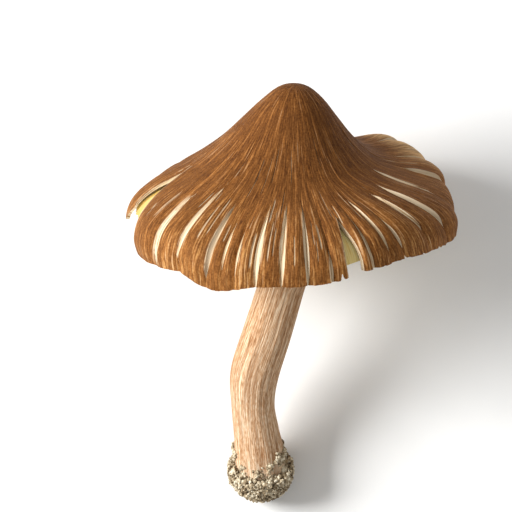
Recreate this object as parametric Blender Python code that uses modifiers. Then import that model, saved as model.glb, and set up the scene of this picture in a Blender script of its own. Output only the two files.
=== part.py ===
"""A picked ink cap mushroom, lying on its side: torn bell cap, gills, curved stem and a foot of soil.

The mushroom is modelled upright, in metres: +Z runs up its axis, the rim of the cap lies at height 0,
-Y is its front and +X its right. An empty then lays it on its back, on the rear of its rim and on
its foot. Azimuths run from +X through the back, so 180 is the left side and 270 the front.
"""

import math
import random

import bmesh
import bpy
from mathutils import Vector

MM = 0.001

# Cap
CAP_RADIUS = 36.7 * MM
CAP_HEIGHT = 37.7 * MM
# Outline from the apex to the rim, as shares of radius and height: the straight left side and back
BROAD_SIDE = [(0, 1), (0.10, 0.98), (0.215, 0.89), (0.345, 0.765), (0.478, 0.64), (0.62, 0.53),
              (0.77, 0.425), (0.895, 0.325), (0.975, 0.22), (1.0, 0.10), (0.97, 0)]
# and the steeper front and right side
STEEP_SIDE = [(0, 1), (0.09, 0.98), (0.18, 0.90), (0.27, 0.765), (0.36, 0.635), (0.48, 0.525),
              (0.64, 0.435), (0.81, 0.345), (0.945, 0.235), (1.0, 0.11), (1.0, 0)]
BROAD_AZIMUTH = 135
# The fibres and tears of the right side sweep round more than those of the left
SWEEP_DEG = 11
SWEEP_RIGHT_DEG = 11
SWEEP_LENGTH = 0.5
# Height of the rim in mm, every 15 degrees of azimuth
RIM_WAVE_FROM = 0.45
RIM_HEIGHTS = [3.0, 4.2, 4.8, 4.0, 1.8, 0.2, 0.5, 1.0, 0.6, 0.2, 0.6, 0.6,
               -0.2, -0.6, -0.1, 0.5, -2.0, -0.1, 0.6, 1.4, 3.4, 4.2, 3.6, 2.9]
# The margin swells up at the right of the back
SWELL = 4.5 * MM
SWELL_AZIMUTH = 50
SWELL_NARROWNESS = 12
SWELL_FROM = 0.45
SWELL_TO = 0.75
FLESH_AT_APEX = 3.0 * MM
FLESH_AT_RIM = 0.9 * MM
THIN_FROM = 0.9
THIN_RADIUS = 0.95
LOBE_ARCH = 1.0 * MM
LOBE_RAISE = 0.9 * MM
LOBE_FROM = 0.5
# How much of a lobe's arch is gone at the rim, and where it starts to go
ARCH_LOST = 0.7
ARCH_FADES_FROM = 0.8
LOBE_COLUMNS = 3
CAP_ROWS = [0, 0.07, 0.15, 0.24, 0.34, 0.44, 0.52, 0.60, 0.68, 0.75, 0.82, 0.88, 0.94, 1]
# The lobe left of the widest tear curls back from the rim
CURLED_LOBE = 28
CURLED_LOBE_LENGTH = 0.8
CURLED_LOBE_RAISE = 2.0 * MM

# Tears: azimuth at the rim, start and end as shares of the way from the apex to the rim, widest
# gap and gap at the rim in mm
TEARS = [
    (185.0, 0.52, 1.00, 4.4, 6.0),
    (211.5, 0.60, 1.00, 2.2, 0.3),
    (224.0, 0.52, 0.94, 1.5, 0.0),
    (236.5, 0.60, 0.94, 1.2, 0.0),
    (242.5, 0.68, 0.88, 0.9, 0.0),
    (248.0, 0.68, 0.94, 0.9, 0.0),
    (256.0, 0.60, 1.00, 1.4, 0.3),
    (265.3, 0.60, 1.00, 1.5, 0.2),
    (274.7, 0.60, 1.00, 1.2, 0.2),
    (283.5, 0.82, 1.00, 0.7, 0.5),
    (292.5, 0.68, 1.00, 2.8, 4.2),
    (300.0, 0.68, 1.00, 1.3, 0.9),
    (307.3, 0.60, 0.94, 1.2, 0.0),
    (315.5, 0.75, 1.00, 0.9, 0.6),
    (328.0, 0.60, 0.88, 1.1, 0.0),
    (343.5, 0.60, 0.88, 1.3, 0.0),
    (363.0, 0.52, 0.75, 1.1, 0.0),
    (383.0, 0.60, 0.82, 1.2, 0.0),
    (396.0, 0.60, 0.82, 0.9, 0.0),
    (411.0, 0.52, 1.00, 1.2, 1.0),
    (425.0, 0.68, 0.94, 0.9, 0.0),
    (438.0, 0.60, 0.94, 1.2, 0.0),
    (452.0, 0.68, 1.00, 1.0, 0.6),
    (465.0, 0.60, 0.94, 1.2, 0.0),
    (478.0, 0.68, 0.94, 0.9, 0.0),
    (492.0, 0.52, 1.00, 1.3, 0.9),
    (504.0, 0.68, 0.94, 1.0, 0.0),
    (515.0, 0.60, 0.94, 1.2, 0.0),
    (527.0, 0.60, 1.00, 1.2, 0.8),
]

# Gills
GILLS = 48
GILL_FROM = 0.27
GILL_TO = 0.93
GILL_ROWS = 6
GILL_DEPTH = 5.0 * MM
GILL_LAYER = 0.6 * MM
GILL_EDGE_WIDTH = 0.7 * MM
GILL_ROOT_WIDTH = 1.0 * MM
SHORT_GILL_FROM = 0.45
# A gill deepens over this share of the cap, and loses this much of its depth again towards the rim
GILL_DEEPENS = 0.25
GILL_SHALLOWER = 0.75
GILL_SHALLOWS_FROM = 0.7
# Widest root as a share of the room between gills
CROWDED_GILL_WIDTH = 0.88

# Stem: sideways offset, height and radius of its centre line, from the cap down to the foot
STEM_LINE = [
    (0.3, 33.6, 2.2),
    (0.3, 30.6, 4.5),
    (0.6, 16.0, 5.2),
    (0.1, 0.0, 5.4),
    (-3.0, -11.0, 5.4),
    (-6.2, -22.0, 5.6),
    (-9.0, -31.5, 5.6),
    (-9.4, -39.0, 5.0),
    (-8.6, -46.0, 5.3),
    (-7.8, -52.0, 5.8),
    (-7.5, -57.0, 5.2),
    (-7.5, -59.6, 2.4),
]
STEM_RIDGES = 16
STEM_RIDGE_HEIGHT = 0.16 * MM
STEM_ROWS = 24
GAP = 0.3 * MM

# Soil
SOIL_CENTRE = Vector((-7.6, 0.0, -54.9)) * MM
SOIL_RADIUS = 7.2 * MM
CRUMBS = 90
CRUMB_RADIUS = (0.9 * MM, 1.4 * MM)
CRUMB_TOP = 0.4
SMALLEST_EDGE = 0.02 * MM

# Lying pose
LEAN_DEG = 62.4
LAID_AT = Vector((0.2, 11.2, 32.0)) * MM
FLOOR_SIZE = 200 * MM

RANDOM_SEED = 11


def smooth(low, high, value):
    """0 up to low, 1 from high, and a smooth step between."""
    share = min(1.0, max(0.0, (value - low) / (high - low)))
    return share * share * (3 - 2 * share)


def along(points, share):
    """The point at a share of the way along a smooth curve through evenly counted points."""
    place = min(max(share, 0.0), 1.0) * (len(points) - 1)
    i = min(int(place), len(points) - 2)
    t = place - i
    before = points[max(i - 1, 0)]
    after = points[min(i + 2, len(points) - 1)]
    return [
        0.5 * (2 * b + (c - a) * t + (2 * a - 5 * b + 4 * c - d) * t * t + (3 * b - a - 3 * c + d) * t ** 3)
        for a, b, c, d in zip(before, points[i], points[i + 1], after)
    ]


def rim_height(azimuth):
    """How far the rim stands above or below height 0 there."""
    count = len(RIM_HEIGHTS)
    place = (azimuth / (2 * math.pi) * count) % count
    wrapped = [(RIM_HEIGHTS[(int(place) + i) % count],) for i in (-1, 0, 1, 2)]
    return MM * along(wrapped, (1 + place % 1) / 3)[0]


def bed(label, s):
    """The cap's even outer surface, without its lobes. label is the azimuth in degrees at which the
    fibre through the point meets the rim, and s runs from 0 at the apex to 1 at the rim."""
    at_rim = math.radians(label)
    sweep = (SWEEP_DEG + SWEEP_RIGHT_DEG * math.cos(at_rim)) * math.cos(at_rim)
    azimuth = math.radians(label - sweep * min(1.0, (1 - s) / SWEEP_LENGTH))
    broad = 0.5 + 0.5 * math.cos(azimuth - math.radians(BROAD_AZIMUTH))
    r_broad, h_broad = along(BROAD_SIDE, s)
    r_steep, h_steep = along(STEEP_SIDE, s)
    r = CAP_RADIUS * (r_steep + (r_broad - r_steep) * broad)
    h = CAP_HEIGHT * (h_steep + (h_broad - h_steep) * broad)
    h += rim_height(azimuth) * smooth(RIM_WAVE_FROM, 1, s)
    near_swell = math.exp(SWELL_NARROWNESS * (math.cos(azimuth - math.radians(SWELL_AZIMUTH)) - 1))
    h += SWELL * near_swell * smooth(SWELL_FROM, SWELL_TO, s)
    return Vector((r * math.cos(azimuth), r * math.sin(azimuth), h))


def outward(label, s):
    """The direction that faces out of the cap there."""
    step = 0.01
    s = max(s, 2 * step)
    round_it = bed(label + 1, s) - bed(label - 1, s)
    down_it = bed(label, s + step) - bed(label, s - step) if s < 1 - step else bed(label, s) - bed(label, s - step)
    return down_it.cross(round_it).normalized()


def flesh(s):
    """How thick the cap is there."""
    return FLESH_AT_APEX + (FLESH_AT_RIM - FLESH_AT_APEX) * smooth(0, THIN_FROM, s)


def pressed(point):
    """The point, moved up to the floor if it would be under it when the mushroom is laid down."""
    lean = math.radians(LEAN_DEG)
    up = Vector((0, -math.sin(lean), math.cos(lean)))
    height = point.dot(up) + LAID_AT.z
    return point - up * min(0.0, height)


def bent_grid(columns, rows, place, cuts=()):
    """A flat grid, cut along whole grid edges and bent by place(column, row, side). A cut is a column
    with its first and last row, and side is -1 or 1 on either bank of a cut and 0 elsewhere."""
    bm = bmesh.new()
    bmesh.ops.create_grid(bm, x_segments=columns, y_segments=rows, size=1)
    for vertex in bm.verts:
        vertex.co.x = round((vertex.co.x + 1) / 2 * columns)
        vertex.co.y = round((vertex.co.y + 1) / 2 * rows)
    for column, first, last in cuts:
        banks = [
            edge for edge in bm.edges
            if all(v.co.x == column and first <= v.co.y <= last for v in edge.verts)
        ]
        bmesh.ops.split_edges(bm, edges=banks)
    bmesh.ops.triangulate(bm, faces=bm.faces)
    placed = {}
    for vertex in bm.verts:
        middle = sum(face.calc_center_median().x for face in vertex.link_faces) / len(vertex.link_faces)
        side = (middle > vertex.co.x + 0.01) - (middle < vertex.co.x - 0.01)
        placed[vertex] = place(int(vertex.co.x), int(vertex.co.y), side)
    for vertex, point in placed.items():
        vertex.co = point
    return bm


def finished(bm, name, colour, roughness, collection):
    """Makes the mesh a smoothly shaded object with its own material."""
    bmesh.ops.remove_doubles(bm, verts=bm.verts, dist=1e-6)
    bmesh.ops.recalc_face_normals(bm, faces=bm.faces)
    mesh = bpy.data.meshes.new(name)
    bm.to_mesh(mesh)
    bm.free()
    made = bpy.data.objects.new(name, mesh)
    collection.objects.link(made)
    material = bpy.data.materials.new(name)
    material.use_nodes = True
    shader = material.node_tree.nodes["Principled BSDF"]
    shader.inputs["Base Color"].default_value = (*colour, 1)
    shader.inputs["Roughness"].default_value = roughness
    mesh.materials.append(material)
    mesh.shade_smooth()
    return made


def make_cap(collection):
    """The brown cap: a grid bent into a bell, torn at its margin, and given its thickness."""
    draw = random.Random(RANDOM_SEED + 1)
    lobes = len(TEARS)
    azimuths = [tear[0] for tear in TEARS] + [TEARS[0][0] + 360]
    raises = [LOBE_RAISE * draw.random() for _ in range(lobes)]
    arches = [LOBE_ARCH * draw.uniform(0.6, 1.2) for _ in range(lobes)]
    raises[CURLED_LOBE] = CURLED_LOBE_RAISE
    cuts = []
    for i, (_, start, end, _, _) in enumerate(TEARS):
        rows = (CAP_ROWS.index(start), CAP_ROWS.index(end))
        cuts.append((i * LOBE_COLUMNS, *rows))
    cuts.append((lobes * LOBE_COLUMNS, *cuts[0][1:]))

    def place(column, row, side):
        s = CAP_ROWS[row]
        lobe = min(column // LOBE_COLUMNS, lobes - 1)
        if column % LOBE_COLUMNS == 0 and side < 0:
            lobe = column // LOBE_COLUMNS - 1
        if lobe == CURLED_LOBE:
            start = TEARS[0][1]
            s = start + (s - start) * CURLED_LOBE_LENGTH if s > start else s
        across = column / LOBE_COLUMNS - lobe
        label = azimuths[lobe] + (azimuths[lobe + 1] - azimuths[lobe]) * across
        on_tear = column % LOBE_COLUMNS == 0
        opening = 0.0
        if on_tear:
            _, start, end, widest, at_rim = TEARS[(column // LOBE_COLUMNS) % lobes]
            share = min(1.0, max(0.0, (s - start) / (end - start)))
            gap = widest * math.sin(math.pi * share) + at_rim * share ** 2 if start < s <= end else 0.0
            opening = side * gap * MM / 2 / CAP_RADIUS
        label += math.degrees(opening)
        hump = 1 - (2 * across - 1) ** 2
        torn = opening != 0 or not on_tear
        arch = arches[lobe] * hump * (1 - ARCH_LOST * smooth(ARCH_FADES_FROM, 1, s))
        proud = (arch + raises[lobe] * torn) * smooth(LOBE_FROM, 1, s)
        return pressed(bed(label, s) + outward(label, s) * proud)

    bm = bent_grid(lobes * LOBE_COLUMNS, len(CAP_ROWS) - 1, place, cuts)
    cap = finished(bm, "cap", (0.33, 0.14, 0.05), 0.6, collection)
    group = cap.vertex_groups.new(name="flesh")
    for vertex in cap.data.vertices:
        r = vertex.co.xy.length / CAP_RADIUS
        group.add([vertex.index], 1 - smooth(0, THIN_RADIUS, r), "REPLACE")
    solidify = cap.modifiers.new("flesh", "SOLIDIFY")
    solidify.thickness = FLESH_AT_APEX
    solidify.offset = -1
    solidify.vertex_group = "flesh"
    solidify.thickness_vertex_group = FLESH_AT_RIM / FLESH_AT_APEX
    return cap


def make_gills(collection):
    """The yellow gills: blades that hang from one thin layer under the cap, long and short in turn."""
    corners = [(-GILL_ROOT_WIDTH, 0), (-GILL_EDGE_WIDTH, 1), (GILL_EDGE_WIDTH, 1), (GILL_ROOT_WIDTH, 0)]

    def place(column, row, side):
        gill, corner = divmod(column, len(corners))
        width, on_blade = corners[corner]
        under = GILL_ROWS < row <= 2 * GILL_ROWS + 1
        step = (2 * GILL_ROWS + 1 - row if under else row) % (2 * GILL_ROWS + 2)
        s = GILL_FROM + (GILL_TO - GILL_FROM) * step / GILL_ROWS
        middle = 360 * (gill + 0.5) / GILLS
        r = bed(middle, s).xy.length
        pitch = 2 * math.pi * r / GILLS
        crowded = min(1.0, CROWDED_GILL_WIDTH * pitch / GILL_ROOT_WIDTH)
        label = middle + math.degrees(width * crowded / 2 / r)
        below = flesh(s) + 2 * GAP
        if under:
            start = SHORT_GILL_FROM if gill % 2 else GILL_FROM
            shallower = GILL_SHALLOWER * smooth(GILL_SHALLOWS_FROM, GILL_TO, s)
            deep = smooth(start, start + GILL_DEEPENS, s) * (1 - shallower)
            below += GILL_LAYER + GILL_DEPTH * deep * on_blade
        return pressed(bed(label, s)) - outward(label, s) * below

    bm = bent_grid(GILLS * len(corners), 2 * GILL_ROWS + 2, place)
    return finished(bm, "gills", (0.80, 0.68, 0.28), 0.6, collection)


def stem_mesh(extra):
    """The stem's closed surface, grown by extra all round."""
    columns = 2 * STEM_RIDGES

    def place(column, row, side):
        share = row / STEM_ROWS
        x, z, radius = along(STEM_LINE, share)
        ahead = along(STEM_LINE, share + 0.01)
        behind = along(STEM_LINE, share - 0.01)
        run = Vector((ahead[0] - behind[0], 0, ahead[1] - behind[1])).normalized()
        across = run.cross(Vector((0, 1, 0)))
        ridge = STEM_RIDGE_HEIGHT * (1 if column % 2 else -1)
        reach = radius * MM + ridge + extra
        centre = Vector((x, 0, z)) * MM
        if row in (0, STEM_ROWS):
            return centre + run * extra * (1 if row else -1)
        turn = 2 * math.pi * column / columns
        return centre + (across * math.cos(turn) + Vector((0, 1, 0)) * math.sin(turn)) * reach

    return bent_grid(columns, STEM_ROWS, place)


def make_stem(collection):
    """The tan stem, fibrous and curved, with its bulb."""
    return finished(stem_mesh(0), "stem", (0.62, 0.40, 0.22), 0.7, collection)


def apply_booleans(target, operations):
    """Joins collections to the target and cuts objects from it, then applies that and clears up."""
    for operation, other in operations:
        modifier = target.modifiers.new(operation, "BOOLEAN")
        modifier.operation = operation
        modifier.solver = "EXACT"
        if isinstance(other, bpy.types.Collection):
            modifier.operand_type = "COLLECTION"
            modifier.collection = other
        else:
            modifier.object = other
    graph = bpy.context.evaluated_depsgraph_get()
    mesh = bpy.data.meshes.new_from_object(target.evaluated_get(graph))
    target.modifiers.clear()
    target.data = mesh
    for _, other in operations:
        grouped = isinstance(other, bpy.types.Collection)
        for helper in list(other.objects) if grouped else [other]:
            bpy.data.objects.remove(helper)
        if grouped:
            bpy.data.collections.remove(other)


def drop_scraps(mesh):
    """Leaves only the largest of the mesh's separate bodies."""
    bm = bmesh.new()
    bm.from_mesh(mesh)
    unseen = set(bm.verts)
    bodies = []
    while unseen:
        body = set()
        front = [unseen.pop()]
        while front:
            vertex = front.pop()
            body.add(vertex)
            near = {edge.other_vert(vertex) for edge in vertex.link_edges} & unseen
            unseen -= near
            front.extend(near)
        bodies.append(body)
    bodies.sort(key=len)
    for body in bodies[:-1]:
        bmesh.ops.delete(bm, geom=list(body), context="VERTS")
    bmesh.ops.dissolve_degenerate(bm, edges=bm.edges, dist=SMALLEST_EDGE)
    bmesh.ops.triangulate(bm, faces=bm.faces)
    bm.to_mesh(mesh)
    bm.free()


def make_soil(collection, cutters, laid):
    """The crumbly soil round the foot: a lump with crumbs set in it, cut by the stem and the floor."""
    lump = bmesh.new()
    bmesh.ops.create_icosphere(lump, subdivisions=2, radius=SOIL_RADIUS)
    bmesh.ops.translate(lump, verts=lump.verts, vec=SOIL_CENTRE)
    soil = finished(lump, "soil", (0.27, 0.19, 0.12), 0.95, collection)
    soil.parent = laid

    crumbs = bpy.data.collections.new("crumbs")
    cutters.children.link(crumbs)
    draw = random.Random(RANDOM_SEED + 2)
    golden = math.pi * (3 - math.sqrt(5))
    for i in range(CRUMBS):
        height = -1 + (1 + CRUMB_TOP) * (i + 0.5) / CRUMBS
        ring = math.sqrt(1 - height * height)
        turn = golden * i
        direction = Vector((ring * math.cos(turn), ring * math.sin(turn), height))
        crumb = bmesh.new()
        bmesh.ops.create_icosphere(crumb, subdivisions=1, radius=draw.uniform(*CRUMB_RADIUS))
        for vertex in crumb.verts:
            vertex.co *= draw.uniform(0.8, 1.15)
        bmesh.ops.translate(crumb, verts=crumb.verts, vec=SOIL_CENTRE + direction * SOIL_RADIUS)
        made = finished(crumb, f"crumb_{i}", (0.27, 0.19, 0.12), 0.95, crumbs)
        made.parent = laid

    stem_cutter = finished(stem_mesh(GAP), "stem_cutter", (0, 0, 0), 1, cutters)
    stem_cutter.parent = laid
    bpy.ops.mesh.primitive_cube_add(size=FLOOR_SIZE, location=(0, 0, -FLOOR_SIZE / 2))
    floor = bpy.context.object
    bpy.context.view_layer.update()
    apply_booleans(soil, [("UNION", crumbs), ("DIFFERENCE", stem_cutter), ("DIFFERENCE", floor)])
    drop_scraps(soil.data)
    soil.data.shade_flat()
    return soil


def main():
    for old in list(bpy.data.objects):
        bpy.data.objects.remove(old)
    parts = bpy.data.collections.new("ink_cap_mushroom")
    cutters = bpy.data.collections.new("cutters")
    bpy.context.scene.collection.children.link(parts)
    bpy.context.scene.collection.children.link(cutters)
    laid = bpy.data.objects.new("laid_on_its_side", None)
    laid.location = LAID_AT
    laid.rotation_euler = (-math.radians(LEAN_DEG), 0, 0)
    parts.objects.link(laid)
    for make in (make_cap, make_gills, make_stem):
        make(parts).parent = laid
    make_soil(parts, cutters, laid)


main()
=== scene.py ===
"""The finished look of a picked ink cap mushroom that lies on its side.

Shapes are worked out upright, in millimetres, with the mushroom's axis as +Z and the rim of its cap
at height 0, and are then laid down as the part is. Azimuths run from +X through the back, so 180 is
the left side and 270 the front. s runs from 0 at the apex of the cap to 1 at its rim.
"""

import math
import random

import bmesh
import bpy
import numpy as np
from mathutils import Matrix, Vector


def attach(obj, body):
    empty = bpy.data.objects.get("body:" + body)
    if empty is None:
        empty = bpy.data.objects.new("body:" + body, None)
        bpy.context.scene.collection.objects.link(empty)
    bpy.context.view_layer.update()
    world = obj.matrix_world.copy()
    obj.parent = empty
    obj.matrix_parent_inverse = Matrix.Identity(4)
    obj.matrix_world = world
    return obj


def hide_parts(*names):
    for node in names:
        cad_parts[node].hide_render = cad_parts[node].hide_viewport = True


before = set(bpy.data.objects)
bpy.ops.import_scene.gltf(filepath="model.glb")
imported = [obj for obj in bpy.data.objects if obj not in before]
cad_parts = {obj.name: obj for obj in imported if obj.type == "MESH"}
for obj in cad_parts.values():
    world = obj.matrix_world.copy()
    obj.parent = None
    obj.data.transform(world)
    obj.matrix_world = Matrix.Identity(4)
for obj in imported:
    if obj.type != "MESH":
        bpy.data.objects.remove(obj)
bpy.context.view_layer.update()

MM = 0.001
# Points nearer to each other than this are one, and edges shorter than this are none
MERGED_WITHIN_M = 1e-7
NO_LENGTH_M = 1e-8

# Lying pose, as the part's
LEAN_DEG = 62.4
LAID_AT = np.array([0.2, 11.2, 32.0])
LEAN = math.radians(LEAN_DEG)
TO_BACK = np.array([0, math.cos(LEAN), -math.sin(LEAN)])
TO_APEX = np.array([0, math.sin(LEAN), math.cos(LEAN)])

# Cap, as the part's, apart from flatter lobe ends and narrower tears at the right and back. Lengths
# are in mm, and places along the cap are shares of the way from the apex to the rim.
CAP_RADIUS = 36.7
CAP_HEIGHT = 37.7
# Half sections of the broad and the steep side, as shares of the cap's radius and height
BROAD_SIDE = [(0, 1), (0.10, 0.98), (0.215, 0.89), (0.345, 0.765), (0.478, 0.64), (0.62, 0.53),
              (0.77, 0.425), (0.895, 0.325), (0.975, 0.22), (1.0, 0.10), (0.97, 0)]
STEEP_SIDE = [(0, 1), (0.09, 0.98), (0.18, 0.90), (0.27, 0.765), (0.36, 0.635), (0.48, 0.525),
              (0.64, 0.435), (0.81, 0.345), (0.945, 0.235), (1.0, 0.11), (1.0, 0)]
BROAD_AZIMUTH = 135
# How far the fibres sweep round on their way to the rim, and over what length
SWEEP_DEG = 11
SWEEP_RIGHT_DEG = 11
SWEEP_LENGTH = 0.5
RIM_WAVE_FROM = 0.45
# Heights of the rim, evenly spaced round it from azimuth 0
RIM_HEIGHTS = [3.0, 4.2, 4.8, 4.0, 1.8, 0.2, 0.5, 1.0, 0.6, 0.2, 0.6, 0.6,
               -0.2, -0.6, -0.1, 0.5, -2.0, -0.1, 0.6, 1.4, 3.4, 4.2, 3.6, 2.9]
# The swelling at the back right
SWELL = 4.5
SWELL_AZIMUTH = 50
SWELL_NARROWNESS = 12
SWELL_FROM = 0.45
SWELL_TO = 0.75
# How thick the flesh is at the apex and at the rim, and from where it is as thin as there
FLESH_AT_APEX = 3.0
FLESH_AT_RIM = 0.9
THIN_FROM = 0.9
# Lobes: how high they arch, how far they are raised at most, from where on, the share of the arch
# that is gone at the rim, and from where it fades
LOBE_ARCH = 1.0
LOBE_RAISE = 0.9
LOBE_FROM = 0.5
ARCH_LOST = 0.9
ARCH_FADES_FROM = 0.8
# The lobe at the left that curls up off the gills: its number, the share of its length beside the
# tear that is there, how far it is raised, and the share by which its far edge is thinner
CURLED_LOBE = 28
CURLED_LOBE_LENGTH = 0.8
CURLED_LOBE_RAISE = 2.0
CURLED_THINNER = 0.5
# Every random draw starts from this
RANDOM_SEED = 11
# Tears: azimuth at the rim, start and end as shares of the way from the apex to the rim, widest
# gap and gap at the rim in mm
TEARS = [
    (185.0, 0.52, 1.00, 5.4, 6.0),
    (211.5, 0.60, 1.00, 2.2, 0.3),
    (224.0, 0.52, 0.94, 1.5, 0.0),
    (236.5, 0.60, 0.94, 1.2, 0.0),
    (242.5, 0.68, 0.88, 0.9, 0.0),
    (248.0, 0.68, 0.94, 0.9, 0.0),
    (256.0, 0.60, 1.00, 1.4, 0.3),
    (265.3, 0.60, 1.00, 1.5, 0.2),
    (274.7, 0.60, 1.00, 1.2, 0.2),
    (283.5, 0.82, 1.00, 0.7, 0.5),
    (292.5, 0.68, 1.00, 2.8, 4.2),
    (299.2, 0.68, 1.00, 0.7, 0.6),
    (307.3, 0.62, 0.92, 0.9, 0.0),
    (313.6, 0.74, 0.95, 0.4, 0.0),
    (328.0, 0.62, 0.86, 1.2, 0.0),
    (343.5, 0.58, 0.89, 0.6, 0.0),
    (363.0, 0.52, 0.75, 1.1, 0.0),
    (383.0, 0.60, 0.82, 0.55, 0.0),
    (396.0, 0.60, 0.86, 0.5, 0.0),
    (411.0, 0.60, 0.94, 0.35, 0.0),
    (425.0, 0.68, 0.94, 0.6, 0.0),
    (438.0, 0.60, 0.94, 1.2, 0.0),
    (452.0, 0.68, 1.00, 1.0, 0.6),
    (465.0, 0.60, 0.94, 1.2, 0.0),
    (478.0, 0.68, 0.94, 0.9, 0.0),
    (492.0, 0.52, 1.00, 1.3, 0.9),
    (504.0, 0.68, 0.94, 1.0, 0.0),
    (515.0, 0.60, 0.94, 1.2, 0.0),
    (527.0, 0.60, 1.00, 0.8, 0.5),
]

# Finer forms of the cap. The skin has closer rows of faces outside OUTER_FROM.
LOBE_COLUMNS = 23
UPPER_ROWS = 16
OUTER_ROWS = 48
OUTER_FROM = 0.45
WALL_COLUMNS = 5
# How much the lobes' arches differ, as shares of the usual one
ARCH_RANGE = (0.6, 1.2)
# A tear whose widest gap and gap at the rim add up to more than this is open right through, with
# banks this wide, and any other has a floor
THROUGH_FROM = 5.2
BANK_WIDTH = 0.35
CURLED_BANK_WIDTH = 0.1
# How deep the floor of a tear lies, and the most that it may be as a share of the gap
TROUGH_DEPTH = 0.35
TROUGH_SHARE = 0.6
# The gap at which a tear's sides stand as torn, and how proud or low their lips are
OPEN_FROM_GAP = 0.5
LIP = 0.32
LIP_RANGE = (0.5, 1)
# How far round the lines on the wall of an open tear spread, in degrees
WALL_SPREAD = 2.0
# How narrow the lips, the rounded corners and the skin beside a closed tear are on their lobe: powers
# of the way across it
LIP_POWER = 3
CORNER_POWER = 4
CLOSED_POWER = 8
# Pale edges along the tears: a lobe's width, how fast they fade from a tear, how pale they are on a
# lobe's two sides, what is left of them at the front and right, and the azimuths where that sets in
LOBE_ARC = 8.0
PALE_EDGE = 0.4
PALE_LEFT = 0.6
PALE_RIGHT = 0.9
PALE_EDGE_FRONT = 0.45
PALE_FADES = (215, 250)
# Where the lobes take on tones of their own, and how pale the swelling is and where that sets in. The
# swelling's paleness is partly its own tan and partly painted light, which brightens it where the umbo
# shades it
TONES_OVER = (0.45, 0.8)
BACK_TAN_AND_PAINTED_LIGHT = 8.0
BACK_TAN_AND_PAINTED_LIGHT_OVER = (0.5, 0.8)
# Tears whose far side stands proud, so that the front shows their flesh
FAR_SIDE_PROUD = [307.3, 328.0]
# How far the corners of the lobes' ends are rounded off, the gaps at the rim over which they come to
# be, and where the ends start
ROUNDED_END = 0.012
CURLED_END = 0.10
ROUNDED_OVER = (0.1, 0.8)
END_FROM = 0.85
# The ragged rim: how deep its steps are, how deep at its roughest, where that is, and how narrow
RAGGED = 0.010
RAGGED_RIGHT = 0.022
RAGGED_AZIMUTH = 345
RAGGED_NARROWNESS = 8
# The steps: cells round the rim, share of the depth, and seed
RAGGED_STEPS = [(300, 0.6, 41), (97, 0.4, 42)]
# Notches in the rim: azimuth, depth as a share of the way to the apex, half width in degrees
NOTCHES = [(287.2, 0.05, 0.7), (313.6, 0.03, 0.6), (322.6, 0.03, 0.5), (334, 0.02, 0.6), (350, 0.022, 0.8)]
# Lobe ends that hang lower than the rest: azimuths, and how much
HANGING = [(315.5, 322.3, 0.022)]
# Fibres of the skin: cells round and along the cap, height, and seed, and then where they set in
FIBRES = [(170, 4, 0.05, 1), (78, 3, 0.05, 2), (23, 3, 0.04, 3)]
FIBRES_OVER = (0.05, 0.5)
# Cracks in the skin that the front shows: azimuth at the rim, start, end, and half width in mm
CRACKS_SEEN = [
    (203.3, 0.60, 0.79, 0.22), (197.0, 0.66, 0.80, 0.12), (232.5, 0.57, 0.78, 0.20),
    (230.0, 0.66, 0.80, 0.16), (249.6, 0.64, 0.73, 0.16), (257.8, 0.56, 0.70, 0.26),
    (253.5, 0.72, 0.90, 0.20), (259.8, 0.66, 0.88, 0.20), (261.6, 0.70, 0.86, 0.14),
    (280.8, 0.70, 0.84, 0.26), (270.0, 0.74, 0.90, 0.14), (279.0, 0.76, 0.90, 0.12),
    (336.0, 0.66, 0.78, 0.15), (353.0, 0.55, 0.74, 0.18),
]
# Cracks anywhere: how many, where they start, how long they are, where the last of them end, and
# their half width in mm
CRACKS = 70
CRACK_STARTS = (0.30, 0.78)
CRACK_LENGTHS = (0.08, 0.24)
CRACKS_TO = 0.97
CRACK_WIDTH = 0.13
# How deep all of the cracks are
CRACK_DEPTH = 0.28

# Gills, as the part's, and finer
GILL_FROM = 0.27
GILL_TO = 0.93
GILL_DEPTH = 5.0
GILL_LAYER = 0.6
# How soon a gill is at its full depth, from where it grows shallower and by how much, and how deep
# every second gill is
GILL_DEEPENS = 0.25
GILL_SHALLOWS_FROM = 0.7
GILL_SHALLOWER = 0.75
SECOND_GILL_DEPTH = 0.92
# The gap between two pieces, as the part's
GAP = 0.3
GILLS = 132
# Where the gills start, in turn
GILL_STARTS = [0.27, 0.62, 0.45, 0.70]
GILL_ROWS = 22
GILL_THICKNESS = 0.26
# A gill's section from its root over its edge and back: share of the depth, and side to side
GILL_FALL = (0, 0.5, 1, 1, 0.5, 0)
GILL_SIDE = (-1, -0.8, -0.45, 0.45, 0.8, 1)
# Waves of the gills: height, cells round and along, seed, how far apart two gills' waves are, and
# where they set in
GILL_WAVE = 0.35
GILL_WAVE_CELLS = (7, 9)
GILL_WAVE_SEED = 31
GILL_WAVE_STEP = 0.37
GILL_WAVE_OVER = (0.3, 0.6)
# Azimuths over which the gills start to follow the curled lobe, stop following it, and stop being
# shorter, and how much shorter they are
CURLED_STARTS = (160, 166)
CURLED_STOPS = (183, 187)
CURLED_SHORT_STOPS = (196, 202)
CURLED_SHORTER = 0.10
# The share of the way to the curled lobe that a gill's edge stays behind its root
CURLED_EDGE_BEHIND = 0.3
LAYER_COLUMNS = 264
LAYER_ROWS = 18

# Stem: sideways offset, height and radius along its centre line
STEM_LINE = [
    (0.3, 33.6, 2.2),
    (0.3, 30.6, 4.5),
    (0.6, 16.0, 5.2),
    (0.1, 0.0, 5.4),
    (-3.0, -11.0, 5.4),
    (-6.2, -22.0, 5.6),
    (-9.0, -31.5, 5.6),
    (-9.4, -39.0, 5.0),
    (-8.6, -46.0, 5.3),
    (-7.8, -52.0, 5.8),
    (-7.5, -57.0, 5.2),
    (-7.5, -59.6, 2.4),
]
STEM_COLUMNS = 132
STEM_ROWS = 240
STEM_TWIST = 0.06
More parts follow.
